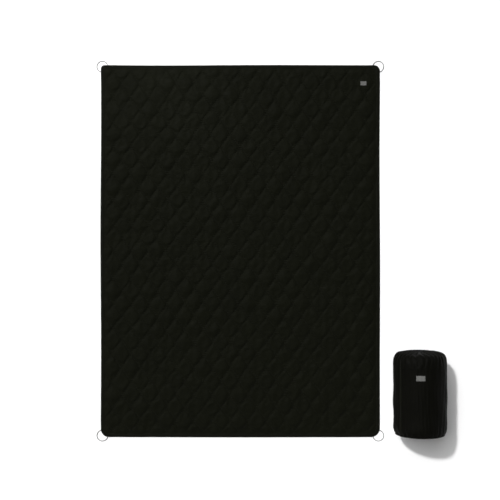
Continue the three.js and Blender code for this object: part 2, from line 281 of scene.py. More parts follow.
def smooth_path(points, steps):
    """Catmull-Rom curve through the points, with that many steps between neighbours."""
    p = np.asarray(points, float)
    p = np.vstack([2 * p[0] - p[1], p, 2 * p[-1] - p[-2]])
    t = (np.arange(steps) / steps)[:, None]
    parts = []
    for i in range(1, len(p) - 2):
        a, b, c, d = p[i - 1], p[i], p[i + 1], p[i + 2]
        parts.append(0.5 * (2 * b + (c - a) * t + (2 * a - 5 * b + 4 * c - d) * t**2
                            + (3 * b - a - 3 * c + d) * t**3))
    parts.append(p[-2][None])
    return np.vstack(parts)


def frames_along(path):
    """Tangent and two cross directions at each point of a path, with no twist."""
    tangent = np.gradient(path, axis=0)
    tangent /= np.linalg.norm(tangent, axis=1)[:, None]
    side = np.empty_like(path)
    previous = np.cross(tangent[0], (0.0, 0.0, 1.0))
    if np.linalg.norm(previous) < 0.1:
        previous = np.cross(tangent[0], (1.0, 0.0, 0.0))
    for i, along in enumerate(tangent):
        previous = previous - along * (previous @ along)
        previous /= np.linalg.norm(previous)
        side[i] = previous
    return tangent, side, np.cross(tangent, side)


def tube(name, path, radius, sides, finish):
    """A closed round tube along a path, which keeps where each point lies around and along it."""
    _, side, up = frames_along(path)
    angle = np.linspace(0, 2 * math.pi, sides, endpoint=False)
    ring = side[:, None] * np.cos(angle)[None, :, None] + up[:, None] * np.sin(angle)[None, :, None]
    piece = swept(name, path[:, None] + radius * ring, finish)
    store(piece, "around", np.tile(angle, len(path)))
    store(piece, "along", np.repeat(travelled(path), sides))
    return piece


def store(piece, name, values):
    """Keeps a number per vertex for the material to read."""
    attribute = piece.data.attributes.new(name, "FLOAT", "POINT")
    attribute.data.foreach_set("value", np.asarray(values, np.float32).ravel())


def store_cloth(piece, across, along):
    """Keeps where each point lies on the flat cloth, in metres, so that the weave follows the cloth."""
    across, along = np.broadcast_arrays(across, along)
    flat = np.stack([across, along, np.zeros(across.shape)], axis=-1)
    attribute = piece.data.attributes.new("cloth", "FLOAT_VECTOR", "POINT")
    attribute.data.foreach_set("vector", flat.astype(np.float32).ravel())


# ---- Materials ----

class Finish:
    """A node-based material around one Principled shader, with short names for the nodes used here."""

    def __init__(self, name, color, roughness, specular=0.5, metallic=0.0, sheen=0.0):
        self.made = bpy.data.materials.new(name)
        self.made.use_nodes = True
        self.nodes = self.made.node_tree.nodes
        self.shader = self.nodes["Principled BSDF"]
        self.shader.inputs["Base Color"].default_value = (*color, 1)
        self.shader.inputs["Roughness"].default_value = roughness
        self.shader.inputs["Specular IOR Level"].default_value = specular
        self.shader.inputs["Metallic"].default_value = metallic
        self.shader.inputs["Sheen Weight"].default_value = sheen
        self.shader.inputs["Sheen Roughness"].default_value = 0.5
        self.color = color
        self.place = self.node("ShaderNodeTexCoord").outputs["Object"]

    def node(self, kind, **settings):
        made = self.nodes.new(kind)
        for key, value in settings.items():
            setattr(made, key, value)
        return made

    def link(self, source, target):
        self.made.node_tree.links.new(source, target)

    def math(self, operation, a, b=None):
        node = self.node("ShaderNodeMath", operation=operation)
        for value, socket in zip((a, b), node.inputs):
            if isinstance(value, (int, float)):
                socket.default_value = value
            elif value is not None:
                self.link(value, socket)
        return node.outputs[0]

    def attribute(self, name):
        return self.node("ShaderNodeAttribute", attribute_name=name).outputs["Fac"]

    def noise(self, size, detail=3.0, stretch=(1, 1, 1)):
        """Smooth random value, 0 to 1, with features of about that size in metres."""
        mapping = self.node("ShaderNodeMapping")
        mapping.inputs["Scale"].default_value = stretch
        noise = self.node("ShaderNodeTexNoise")
        noise.inputs["Scale"].default_value = 1 / size
        noise.inputs["Detail"].default_value = detail
        self.link(self.place, mapping.inputs["Vector"])
        self.link(mapping.outputs["Vector"], noise.inputs["Vector"])
        return noise.outputs["Fac"]

    def threads(self, pitch, direction):
        """Parallel rounded threads, 0 to 1, that repeat every pitch along a direction."""
        dot = self.node("ShaderNodeVectorMath", operation="DOT_PRODUCT")
        self.link(self.place, dot.inputs[0])
        dot.inputs[1].default_value = direction
        turns = self.math("MULTIPLY", dot.outputs["Value"], 2 * math.pi / pitch)
        return self.math("MULTIPLY", self.math("ADD", self.math("SINE", turns), 1.0), 0.5)

    def weave(self, pitch, first=(1, 0, 0), second=(0, 1, 0)):
        """A plain weave: two crossing sets of threads, each on top by turns."""
        warp = self.threads(pitch, first)
        weft = self.threads(pitch, second)
        return self.math("ABSOLUTE", self.math("SUBTRACT", warp, weft))

    def crossing(self, around, along):
        """Two sets of helical waves, -1 to 1, that run round a cord in opposite directions."""
        return [self.math("SINE", self.math(way, around, along)) for way in ("ADD", "SUBTRACT")]

    def tint(self, value, low, high):
        """Colours the surface between two multiples of its colour, by a value from 0 to 1."""
        ramp = self.node("ShaderNodeMix", data_type="RGBA")
        ramp.inputs["A"].default_value = (*(low * c for c in self.color), 1)
        ramp.inputs["B"].default_value = (*(high * c for c in self.color), 1)
        self.link(value, ramp.inputs["Factor"])
        self.link(ramp.outputs["Result"], self.shader.inputs["Base Color"])

    def roughen(self, value, low, high):
        span = self.node("ShaderNodeMapRange")
        span.inputs["To Min"].default_value = low
        span.inputs["To Max"].default_value = high
        self.link(value, span.inputs["Value"])
        self.link(span.outputs["Result"], self.shader.inputs["Roughness"])

    def relief(self, height, depth):
        """Adds a bump of that depth in metres on top of those already there."""
        bump = self.node("ShaderNodeBump")
        bump.inputs["Distance"].default_value = depth
        self.link(height, bump.inputs["Height"])
        normal = self.shader.inputs["Normal"]
        if normal.is_linked:
            self.link(normal.links[0].from_socket, bump.inputs["Normal"])
        self.link(bump.outputs["Normal"], normal)


def woven(name, color, roughness, specular, pitch, crinkle, sheen=0.0, flat=False):
    """A filament cloth: fine weave, small crinkles, and slightly uneven colour and gloss. Where flat is set,
    the weave follows the place on the cloth that the piece keeps in its cloth attribute."""
    cloth = Finish(name, color, roughness, specular, sheen=sheen)
    if flat:
        cloth.place = cloth.node("ShaderNodeAttribute", attribute_name="cloth").outputs["Vector"]
    weave = cloth.weave(pitch)
    fine = cloth.math("MULTIPLY", weave, 0.45)
    patchy = cloth.math("MULTIPLY", cloth.noise(0.11, 4.0), 0.55)
    cloth.tint(cloth.math("ADD", fine, patchy), 0.62, 1.4)
    cloth.roughen(cloth.noise(0.03), roughness - 0.12, roughness + 0.12)
    cloth.relief(cloth.noise(0.012, 4.0), crinkle)
    cloth.relief(weave, 0.12 * pitch)
    return cloth


def face_finish():
    """The quilted face: short puckers run in to each line of quilting."""
    color = (0.0038, 0.0042, 0.0020)
    cloth = woven("shell_fabric", color, 0.68, 0.03, 0.8 * MM, 0.8 * MM, sheen=0.03, flat=True)
    near = cloth.node("ShaderNodeMapRange", interpolation_type="SMOOTHSTEP")
    near.inputs["From Min"].default_value = 14 * MM
    near.inputs["From Max"].default_value = 1 * MM
    cloth.link(cloth.attribute("from_seam"), near.inputs["Value"])
    along = cloth.math("MULTIPLY", cloth.attribute("along_seam"), 2 * math.pi / (9 * MM))
    drift = cloth.math("MULTIPLY", cloth.noise(0.035), 14.0)
    pucker = cloth.math("SINE", cloth.math("ADD", along, drift))
    cloth.relief(cloth.math("MULTIPLY", pucker, near.outputs["Result"]), 0.7 * MM)
    return cloth.made


def lining_finish():
    return woven("back_lining", (0.0045, 0.0049, 0.0030), 0.7, 0.03, 0.8 * MM, 0.8 * MM, sheen=0.03).made


def sack_finish():
    color = (0.0026, 0.0026, 0.0018)
    return woven("sack_fabric", color, 0.6, 0.025, 0.8 * MM, 0.5 * MM, sheen=0.01, flat=True).made


def tape_finish():
    """Edge tape: a heavier twill, with diagonal ribs."""
    color = (0.0047, 0.0051, 0.0031)
    cloth = woven("binding_tape", color, 0.65, 0.025, 1.1 * MM, 0.5 * MM, sheen=0.015)
    cloth.relief(cloth.threads(1.6 * MM, (0.7, 0.7, 0.2)), 0.12 * MM)
    return cloth.made


def cord_braid():
    """Braided cord: strands cross in two directions, with a pale tracer yarn in each."""
    braid = Finish("cord", (0.009, 0.009, 0.008), 0.75, 0.06)
    around = braid.attribute("around")
    along = braid.math("MULTIPLY", braid.attribute("along"), 2 * math.pi / (2.6 * MM))
    eight = braid.math("MULTIPLY", around, 8.0)
    strands = braid.math("MULTIPLY", *braid.crossing(eight, along))
    braid.relief(strands, 0.25 * MM)
    tracers = braid.crossing(around, braid.math("MULTIPLY", along, 0.25))
    tracer = braid.math("GREATER_THAN", braid.math("MAXIMUM", *tracers), 0.72)
    braid.tint(braid.math("MULTIPLY", tracer, braid.math("GREATER_THAN", strands, -0.2)), 0.7, 6.0)
    return braid.made


def sewing_thread(name, color):
    yarn = Finish(name, color, 0.6, 0.08, sheen=0.02)
    yarn.tint(yarn.noise(0.004), 0.7, 1.5)
    yarn.relief(yarn.threads(0.5 * MM, (0.8, 0.6, 0)), 0.06 * MM)
    return yarn.made


def wadding_finish():
    fluff = Finish("insulation", (0.55, 0.55, 0.52), 0.9, 0.1, sheen=0.1)
    fibres = fluff.noise(0.004, 8.0)
    fluff.tint(fibres, 0.75, 1.2)
    fluff.relief(fibres, 1.5 * MM)
    return fluff.made


def label_weave():
    """A blank woven tab: fine ribs across a satin ground."""
    tab = Finish("label", (0.105, 0.105, 0.10), 0.6, 0.15, sheen=0.05)
    ribs = tab.threads(0.7 * MM, (0, 1, 0))
    grain = tab.math("MULTIPLY", tab.math("ADD", ribs, tab.noise(0.003)), 0.5)
    tab.tint(grain, 0.75, 1.3)
    tab.relief(ribs, 0.08 * MM)
    return tab.made


def moulded_plastic():
    plastic = Finish("lock_plastic", (0.006, 0.006, 0.006), 0.45, 0.25)
    grain = plastic.noise(0.0009, 2.0)
    plastic.tint(plastic.noise(0.012), 0.8, 1.3)
    plastic.roughen(grain, 0.34, 0.52)
    plastic.relief(grain, 0.03 * MM)
    return plastic.made


def spring_wire():
    steel = Finish("spring_steel", (0.55, 0.55, 0.56), 0.3, 0.5, metallic=1.0)
    drawn = steel.noise(0.002, 3.0, stretch=(1, 6, 1))
    steel.tint(drawn, 0.8, 1.1)
    steel.roughen(drawn, 0.22, 0.4)
    return steel.made


def paper_floor():
    floor = Finish("ground", (0.93, 0.93, 0.93), 0.9, 0.1)
    floor.tint(floor.noise(0.5), 0.995, 1.0)
    return floor.made


shell = face_finish()
lining = lining_finish()
sack_fabric = sack_finish()
tape = tape_finish()
cord_finish = cord_braid()
thread = sewing_thread("thread", (0.0095, 0.0098, 0.0080))
dark_thread = sewing_thread("dark_thread", (0.0048, 0.0052, 0.0034))
pale_thread = sewing_thread("pale_thread", (0.17, 0.17, 0.16))
wadding = wadding_finish()
label_finish = label_weave()
lock_plastic = moulded_plastic()
spring_steel = spring_wire()


# ---- Camera, light and ground ----

def make_camera():
    data = bpy.data.cameras.new("camera")
    data.sensor_width = SENSOR
    data.lens = SENSOR * CAMERA_HEIGHT / VIEW_WIDTH
    camera = bpy.data.objects.new("camera", data)
    camera.location = (*VIEW_CENTRE, CAMERA_HEIGHT)
    bpy.context.scene.collection.objects.link(camera)
    bpy.context.scene.camera = camera


def make_light():
    """A key light from the rear left with fairly crisp shadows, a broad fill beside it, a weak light from
    the front and a near soft box."""
    add_lamp("key", "SUN", 2.45, (-0.51, 0.62, 1.0), angle=math.radians(4))
    add_lamp("fill", "SUN", 2.1, (-0.5, 0.6, 1.0), angle=math.radians(62))
    add_lamp("front", "SUN", 0.35, (0.35, -1.0, 0.4), angle=math.radians(40))
    box = add_lamp("soft_box", "AREA", 1.0, (0.0, 0.2, 1.0), size=0.4)
    box.location = (-0.42, 1.0, 0.45)
    box.visible_camera = False
    world = bpy.data.worlds.new("studio")
    world.use_nodes = True
    nodes = world.node_tree.nodes
    links = world.node_tree.links
    background = nodes["Background"]
    background.inputs["Color"].default_value = (1, 1, 1, 1)
    path = nodes.new("ShaderNodeLightPath")
    strength = nodes.new("ShaderNodeMapRange")
    strength.inputs["To Min"].default_value = 0.05
    strength.inputs["To Max"].default_value = 1.0
    links.new(path.outputs["Is Camera Ray"], strength.inputs["Value"])
    links.new(strength.outputs["Result"], background.inputs["Strength"])
    bpy.context.scene.world = world
    bpy.context.scene.view_settings.view_transform = "Standard"


def add_lamp(name, kind, energy, towards, **settings):
    """A lamp that shines from the direction towards."""
    data = bpy.data.lights.new(name, kind)
    data.energy = energy
    for key, value in settings.items():
        setattr(data, key, value)
    lamp = bpy.data.objects.new(name, data)
    lamp.rotation_euler = Vector(towards).to_track_quat("Z", "Y").to_euler()
    bpy.context.scene.collection.objects.link(lamp)
    return lamp


def make_ground():
    half = 30
    corners = [(-half, -half, 0), (half, -half, 0), (half, half, 0), (-half, half, 0)]
    ground = new_mesh("ground", corners, [(0, 1, 2, 3)], paper_floor())


# ---- Corner loops ----

def corner_place(turn, points):
    """Turns and moves points from a corner's own frame, which has its corner point at the origin."""
    flat = turned(turn, points) + CORNER_SIGNS[turn] * EDGE
    return np.concatenate([flat, points[..., 2:]], axis=-1)


def make_loop(turn, corner):
    route = np.array(LOOP_ROUTE) * MM
    tucked = 4 * MM
    start = route[0] - (tucked, 0, 0)
    end = route[-1] - (0, tucked, 0)
    path = corner_place(turn, smooth_path([start, *route, end], 6))
    loop = tube(f"loop_{corner}", path, CORD_DIAMETER / 2, 14, cord_finish)
    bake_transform(loop)
    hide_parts(f"corner_loop_{corner}")


# ---- The quilted blanket ----

def rounded(points, inset):
    """Pulls points of a rectangle that stick out of the rounded corners back inside them."""
    pulled = points.copy()
    for (sx, sy), radius in zip(CORNER_SIGNS, CORNER_RADII):
        r = radius - inset
        dx = sx * points[..., 0] - (EDGE[0] - inset - r)
        dy = sy * points[..., 1] - (EDGE[1] - inset - r)
        outside = (dx > 0) & (dy > 0)
        scale = np.where(outside, np.maximum(dx, dy) / np.maximum(np.hypot(dx, dy), 1e-9), 1)
        pulled[..., 0] = np.where(outside, sx * (EDGE[0] - inset - r + dx * scale), pulled[..., 0])
        pulled[..., 1] = np.where(outside, sy * (EDGE[1] - inset - r + dy * scale), pulled[..., 1])
    return pulled


def stitch_lines(y):
    """x of each wavy line of quilting at the heights y, with the blanket's edges as first and last."""
    lines = [np.full(y.shape, FACE_INSET - EDGE[0])]
    for k in range(STITCH_LINES):
        middle = FIRST_LINE - EDGE[0] + k * STITCH_PITCH
        drift = waves(middle, y, 0.45, 11) * 4.5 * MM
        lag = waves(middle, y, 0.5, 12) * 8 * MM
        c = np.cos(2 * math.pi * (y + lag - EDGE[1] + WAVE_TOP) / STITCH_PERIOD)
        wave = np.arcsin(STITCH_SHAPE * c) / math.asin(STITCH_SHAPE)
        lines.append(middle + drift + (-1) ** k * STITCH_SWING * wave)
    lines.append(np.full(y.shape, EDGE[0] - FACE_INSET))
    return np.array(lines)


def quilt_grid(per_channel, row_length):
    """Points of a flat sheet whose columns follow the quilting, (columns, rows, 2), with each column's
    share of the way across its channel and the channel's width at each point."""
    half_rows = int(round((EDGE[1] - FACE_INSET) / row_length))
    y = np.linspace(FACE_INSET - EDGE[1], EDGE[1] - FACE_INSET, 2 * half_rows + 1)
    lines = stitch_lines(y)
    share = np.arange(per_channel) / per_channel
    columns = [a + (b - a) * t for a, b in zip(lines[:-1], lines[1:]) for t in share]
    columns.append(lines[-1])
    x = np.array(columns)
    width = np.repeat(lines[1:] - lines[:-1], per_channel, axis=0)
    width = np.vstack([width, width[-1:]])
    t = np.append(np.tile(share, len(lines) - 1), 0)
    flat = np.stack([x, np.broadcast_to(y, x.shape)], axis=-1)
    return rounded(flat, FACE_INSET), t, width


def edge_distance(flat):
    return np.minimum(EDGE[0] - np.abs(flat[..., 0]), EDGE[1] - np.abs(flat[..., 1]))


def relax_cloth(piece, pinned, frames, grow, pressure, stiffness, bending):
    """Lets the cloth settle with its pinned vertices held and its rest size larger by the share grow."""
    group = piece.vertex_groups.new(name="pinned")
    group.add(np.nonzero(pinned.ravel())[0].tolist(), 1.0, "REPLACE")
    cloth = piece.modifiers.new("cloth", "CLOTH")
    settings = cloth.settings
    settings.quality = 5
    settings.mass = 0.03
    settings.tension_stiffness = stiffness
    settings.compression_stiffness = stiffness
    settings.shear_stiffness = 0.3 * stiffness
    settings.bending_stiffness = bending
    settings.vertex_group_mass = "pinned"
    settings.shrink_min = -grow
    settings.use_pressure = True
    settings.uniform_pressure_force = pressure
    settings.effector_weights.gravity = 0
    cloth.collision_settings.use_collision = False
    cloth.point_cache.frame_start = 1
    cloth.point_cache.frame_end = frames
    scene = bpy.context.scene
    for number in range(1, frames + 1):
        scene.frame_set(number)
    seen = piece.evaluated_get(bpy.context.evaluated_depsgraph_get())
    points = coordinates(seen)
    piece.modifiers.remove(cloth)
    piece.vertex_groups.remove(group)
    scene.frame_set(1)
    return points


def drape(x, y):
    """Gentle unevenness of the whole blanket where it lies on the ground, never negative."""
    low = 1.2 * MM * (1 + waves(x, y, 0.45, 21))
    long_folds = 1.6 * MM * (1 + np.sin(2 * math.pi * (0.8 * x - y + 0.05 * waves(x, y, 0.7, 22)) / 0.31))
    rear_left = smoothstep(-x, 0.1, 0.6) * smoothstep(y, 0.35, 0.8)
    return (low + long_folds * rear_left) * smoothstep(edge_distance(np.stack([x, y], -1)), 0.02, 0.12)


def make_face():
    """The quilted upper fabric. Returns it with the settled points that it was subdivided from."""
    flat, t, width = quilt_grid(FACE_COLUMNS, FACE_ROW)
    depth = edge_distance(flat)
    seam = HEM_HEIGHT + (SEAM_HEIGHT - HEM_HEIGHT) * smoothstep(depth, 20 * MM, 60 * MM)
    seam -= 1.3 * MM * (1 - smoothstep(depth, 3 * MM, 10 * MM))
    crown = np.sqrt(4 * t * (1 - t))[:, None]
    puff = (2.5 * MM * np.minimum(1, width / (50 * MM)) + 0.035 * width) * crown
    puff *= smoothstep(depth, 20 * MM, 38 * MM)
    rng = np.random.default_rng(3)
    height = seam + puff + rng.normal(0, 0.3 * MM, puff.shape) * crown
    points = np.concatenate([flat, height[..., None]], axis=-1)
    on_line = np.broadcast_to((t == 0)[:, None], height.shape)
    pinned = on_line | (depth < 20 * MM)
    face = new_mesh("quilted_face", points, grid_faces(*height.shape), shell)
    points = relax_cloth(face, pinned, 14, grow=0.022, pressure=0.02, stiffness=10, bending=0.02)
    points = points.reshape(*height.shape, 3)
    points[..., 2] = np.clip(points[..., 2], np.minimum(seam, HEM_HEIGHT), FACE_TOP)
    points[..., 2] += drape(points[..., 0], points[..., 1])
    set_coordinates(face, points)
    crease_lines(face, on_line.ravel())
    store(face, "from_seam", np.minimum(t, 1 - t)[:, None] * width)
    store(face, "along_seam", np.broadcast_to(flat[..., 1], width.shape))
    store_cloth(face, flat[..., 0], flat[..., 1])
    subdivide = face.modifiers.new("subdivide", "SUBSURF")
    subdivide.levels = 1
    subdivide.render_levels = 1
    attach(face, "quilt")
    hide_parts("face_fabric")
    return face, points


def make_quilting(face_points):
    """The quilting thread, as short stitches sunk in the face along each wavy line."""
    centres, directions = [], []
    for column in face_points[FACE_COLUMNS:-1:FACE_COLUMNS]:
        inside = edge_distance(column[:, :2]) > QUILTING_INSET
        at, ahead = along_path(column[inside], QUILTING_SPACING)
        centres.append(at)
        directions.append(ahead)
    centres = np.vstack(centres) + (0, 0, 0.2 * MM)
    directions = np.vstack(directions)
    stitches = joined_stitches("quilting_stitches", centres, directions, UP, dark_thread, QUILTING_LENGTH)
    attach(stitches, "quilt")


def crease_lines(piece, line):
    """Keeps the edges between line vertices sharp when the mesh is subdivided."""
    ends = np.zeros(len(piece.data.edges) * 2, int)
    piece.data.edges.foreach_get("vertices", ends)
    ends = ends.reshape(-1, 2)
    crease = piece.data.attributes.new("crease_edge", "FLOAT", "EDGE")
    crease.data.foreach_set("value", (line[ends[:, 0]] & line[ends[:, 1]]).astype(np.float32) * 0.7)


def make_back():
    """The under fabric: flat on the ground, lifted a little at each line of quilting and into the tape."""
    flat, t, width = quilt_grid(4, 14 * MM)
    depth = edge_distance(flat)
    from_line = np.minimum(t, 1 - t)[:, None] * width
    lift = 2.2 * MM * np.exp(-from_line / (7 * MM))
    height = 0.3 * MM + np.where(depth < 24 * MM, 1.0 * MM, lift)
    lower = np.concatenate([flat, height[..., None]], axis=-1)
    back = slab("back_lining", lower + (0, 0, 0.5 * MM), lower, lining)
    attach(back, "quilt")
    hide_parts("back_fabric")


def make_wadding(face_points):
    """The wadding, just under the settled face: every second point, at the lowest of its neighbours."""
    height = face_points[..., 2]
    padded = np.pad(height, 1, mode="edge")
    columns, rows = height.shape
    shifted = [padded[i:i + columns, j:j + rows] for i in range(3) for j in range(3)]
    lowest = np.min(shifted, axis=0) - 1.2 * MM
    upper = face_points.copy()
    upper[..., 2] = np.maximum(lowest, 2.2 * MM)
    upper = upper[::2, ::2]
    lower = upper.copy()
    lower[..., 2] = 1.9 * MM
    filling = slab("wadding", upper * (0.998, 0.998, 1), lower * (0.998, 0.998, 1), wadding)
    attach(filling, "quilt")
    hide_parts("insulation_batt")


# ---- Edge tape and corner patches ----

def fold_share(depth):
    """0 at the very edge, 1 once past the rounded fold."""
    return np.sqrt(1 - (1 - np.clip(depth / (2.2 * MM), 0, 1)) ** 2)


def tape_top(depth, width):
    """Height of the tape's upper face: a slope up to the outer stitches, a soft ridge between the two rows,
    and the inner edge pressed down on the face."""
    last = width - TAPE_INNER_STITCH
    slope = np.interp(depth, TAPE_SLOPE[:, 0], TAPE_SLOPE[:, 1])
    ridge = 0.9 * MM * np.sin(math.pi * np.clip((depth - TAPE_STITCH) / (last - TAPE_STITCH), 0, 1)) ** 0.8
    pressed = 0.5 * MM * smoothstep(depth, last, width)
    return TAPE_MIDDLE + fold_share(depth) * (slope + ridge - pressed - TAPE_MIDDLE)


def tape_bottom(depth):
    return 0.15 * MM + (TAPE_MIDDLE - 0.15 * MM) * (1 - fold_share(depth))


def tape_piece(name, node, edge, inward, width, raised=0.0):
    """The folded tape along a row of edge points, with the inward direction and the tape's width at each."""
    width = np.broadcast_to(width, len(edge))[:, None]
    near = np.array([0, 0.3, 0.8, 1.5, 2.4, 3.6, 5.0, 6.4, 7.6, 8.5, 9.0]) * MM
    beyond = np.array([0.06, 0.18, 0.34, 0.5, 0.66, 0.8, 0.87, 0.94, 1.0])
    far = TAPE_STITCH + (width - TAPE_STITCH) * beyond
    upper = np.hstack([np.broadcast_to(near, (len(edge), len(near))), far])
    inside = np.hstack([np.full_like(width, 1.2 * MM), upper[:, 4:]])
    under = np.hstack([np.broadcast_to(near[1:6], (len(edge), 5)), width * 0.6, width])
    travel = travelled(edge)[:, None]
    ends = smoothstep(np.minimum(travel, travel[-1] - travel), 0, 30 * MM)
    ripple = waves(travel + 3 * edge[:1, :1], 2 * upper, 26 * MM, 31) * 0.35 * MM * ends
    ripple *= smoothstep(upper, 1 * MM, 5 * MM)
    top = tape_top(upper, width) + ripple + raised
    under_layer = inside[:, ::-4]
    depth = np.hstack([upper[:, ::-1], under, under_layer, inside])
    low = [tape_bottom(under), tape_bottom(under_layer) + TAPE_CLOTH]
    height = np.hstack([top[:, ::-1], *low, top[:, 3:] - TAPE_CLOTH])
    flat = edge[:, None] + inward[:, None] * depth[..., None]
    made = swept(name, np.concatenate([flat, height[..., None]], axis=-1), tape)
    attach(made, "quilt")
    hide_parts(node)
    for row, column in (("outer", len(near) - 1), ("inner", len(near) + 6)):
        at = slice(column, column + 1)
        path = np.hstack([edge + inward * upper[:, at], top[:, at] + 0.1 * MM])
        stitch_row(f"{name}_stitches_{row}", path, "quilt", thread)


def make_tape():
    for turn, side in enumerate(["right", "rear", "left", "front"]):
        across, run = (EDGE[0], EDGE[1]) if turn % 2 == 0 else (EDGE[1], EDGE[0])
        reach = run - PATCH_LEG + TUCK
        at = np.linspace(-reach, reach, int(2 * reach / (7 * MM)))
        ends = smoothstep(reach - np.abs(at), 0, 60 * MM)
        bow = waves(at, turn, 0.9, 41) * 1.2 * MM * ends
        edge = turned(turn, np.stack([across + bow, at], axis=-1))
        inward = np.broadcast_to(turned(turn, np.array([-1.0, 0.0])), edge.shape)
        tape_piece(f"edge_tape_{side}", f"binding_{side}", edge, inward, TAPE_WIDTH)
    for turn, (corner, radius) in enumerate(zip(CORNERS, CORNER_RADII)):
        angle = np.linspace(0, math.pi / 2, 41)
        ray = np.stack([np.cos(angle), np.sin(angle)], axis=-1)
        reach = corner_reach(ray, radius)
        sign = np.array(CORNER_SIGNS[turn])
        middle = sign * (EDGE - PATCH_LEG)
        outwards = turned(turn, ray)
        edge = middle + outwards * reach[:, None]
        width = reach - (PATCH_LEG - TAPE_WIDTH)
        name = f"corner_tape_{corner}"
        tape_piece(name, f"corner_patch_{corner}", edge, -outwards, width + 1.5 * MM, raised=0.8 * MM)


def corner_reach(ray, radius):
    """How far a ray from the centre of a corner patch goes before it meets the blanket's rounded edge."""
    straight = PATCH_LEG / np.maximum(ray[:, 0], ray[:, 1])
    centre = PATCH_LEG - radius
    along = (ray[:, 0] + ray[:, 1]) * centre
    inside = along**2 - 2 * centre**2 + radius**2
    arc = along + np.sqrt(np.maximum(inside, 0))
    point = ray * arc[:, None]
    on_arc = (inside > 0) & (point.min(axis=1) > centre)
    return np.where(on_arc, arc, straight)


# ---- Laying flat pieces on cloth ----

def laid_on(piece, points, direction):
    """Moves points along a direction until they meet the surface of a piece as it is shown."""
    tree = BVHTree.FromObject(piece, bpy.context.evaluated_depsgraph_get())
    shape = points.shape
    direction = np.broadcast_to(direction, shape).reshape(-1, 3)
    landed = []
    for point, way in zip(points.reshape(-1, 3), direction):
        hit = tree.ray_cast(Vector(point), Vector(way))[0]
        landed.append(point if hit is None else hit)
    return np.array(landed).reshape(shape)


def sew_label(name, stitches, body, under, way):
    """A blank label over the points under, with its thickness along way, and the stitches round its edge.
    Returns the label."""
    label = slab(name, under + way * LABEL_CLOTH, under, label_finish)
    over = under + way * 0.7 * MM
    rim = np.concatenate([over[1:-1, 1], over[-2, 1:-1], over[-2:0:-1, -2], over[1, -2:0:-1]])
    stitch_row(stitches, rim, body, pale_thread, spacing=LABEL_STITCH_SPACING, length=LABEL_STITCH)
    return label


def make_label(face):
    x = LABEL_CENTRE[0] + np.linspace(-0.5, 0.5, 17) * LABEL_SIZE[0]
    y = LABEL_CENTRE[1] + np.linspace(-0.5, 0.5, 13) * LABEL_SIZE[1]
    grid = np.stack([*np.meshgrid(x, y, indexing="ij"), np.full((17, 13), 0.1)], axis=-1)
    under = laid_on(face, grid, (0, 0, -1))
    under[..., 2] = 0.5 * (under[..., 2] + under[..., 2].max()) + 0.2 * MM
    label = sew_label("blank_label", "blank_label_stitches", "quilt", under, np.array(UP))
    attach(label, "quilt")
    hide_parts("quilt_label")


# ---- Stuff sack ----

def sack_frame(points):
    """From the sack's own frame, with y along its axis from the base and z up, to the shared frame."""
    return np.asarray(points, float) + np.array(SACK_AXIS)


def full_turn(count):
    """That many angles, evenly spaced round a circle."""
    return np.arange(count) / count * 2 * math.pi


def round_axis(theta, radius, y):
    """Points at an angle and a distance round the sack's axis, and at y along it, in the sack's own frame."""
    return np.stack(np.broadcast_arrays(radius * np.cos(theta), y, radius * np.sin(theta)), axis=-1)


def sack_profile(along):
    """Radius, distance from the base and outward direction (radial, axial) at shares 0 to 1 of the side."""
    straight = np.arange(95, 370, 25) * MM
    middle = np.column_stack([np.full(len(straight), SACK_RADIUS), straight])
    corners = np.vstack([SACK_PROFILE[:4], middle, SACK_PROFILE[4:]])
    path = smooth_path(np.column_stack([corners, np.zeros(len(corners))]), 8)[:, :2]
    length = travelled(path)
    at = along * length[-1]
    radius = np.interp(at, length, path[:, 0])
    y = np.interp(at, length, path[:, 1])
    heading = np.gradient(np.stack([radius, y], axis=-1), axis=0)
    heading /= np.linalg.norm(heading, axis=1)[:, None]
    return radius, y, np.stack([heading[:, 1], -heading[:, 0]], axis=-1)


def pleat_height(radius):
    """How far pleats must stand out for the full width of cloth to fit round a smaller ring."""
    spare = np.clip(SACK_RADIUS / radius - 1, 0, None)
    standing = np.minimum(2 * radius / PLEATS * np.sqrt(spare), PLEAT_HEIGHT)
    return standing * (0.25 + 0.75 * smoothstep(radius, 38 * MM, 56 * MM))


def sack_cloth(around, along):
    """The sack's side as (around, along, 3) points, gathered into pleats towards its mouth."""
    theta = SEAM_ANGLE + full_turn(around)
    share = np.arange(along) / (along - 1)
    radius, y, outward = sack_profile(share)
    rng = np.random.default_rng(7)
    sway = sum(rng.normal(0, 0.11) * np.sin(k * theta + rng.uniform(0, 6)) for k in range(2, 9))
    phase = (PLEATS * (theta + sway * 0.5))[:, None] + 1.5 * np.sin(3 * theta[:, None] + 20 * share)
    uneven = 1 + 0.25 * waves(SACK_RADIUS * theta[:, None], 0.4 * share, 60 * MM, 8)
    pleat = np.abs(np.sin(phase / 2)) * 2 - 1.8
    pleats = pleat_height(radius) * uneven * pleat
    pucker = np.sin(61 * theta + 2 * np.sin(5 * theta))[:, None] * 0.5 * MM
    pucker = pucker * np.exp(-((y - SACK_PROFILE[0, 1]) / (16 * MM)) ** 2)
    lumps = waves(SACK_RADIUS * theta[:, None], y, 110 * MM, 9) * 1.2 * MM
    lumps = lumps + waves(2.2 * SACK_RADIUS * theta[:, None], 0.5 * y, 45 * MM, 10) * 0.5 * MM
    lumps = lumps * (smoothstep(y, 13 * MM, 40 * MM) * smoothstep(radius, 70 * MM, 125 * MM))
    out = pleats + pucker + lumps + 1.2 * MM * smoothstep(y, 13 * MM, 45 * MM)
    r = radius + out * outward[:, 0]
    axial = y + out * outward[:, 1]
    return round_axis(theta[:, None], r, axial)


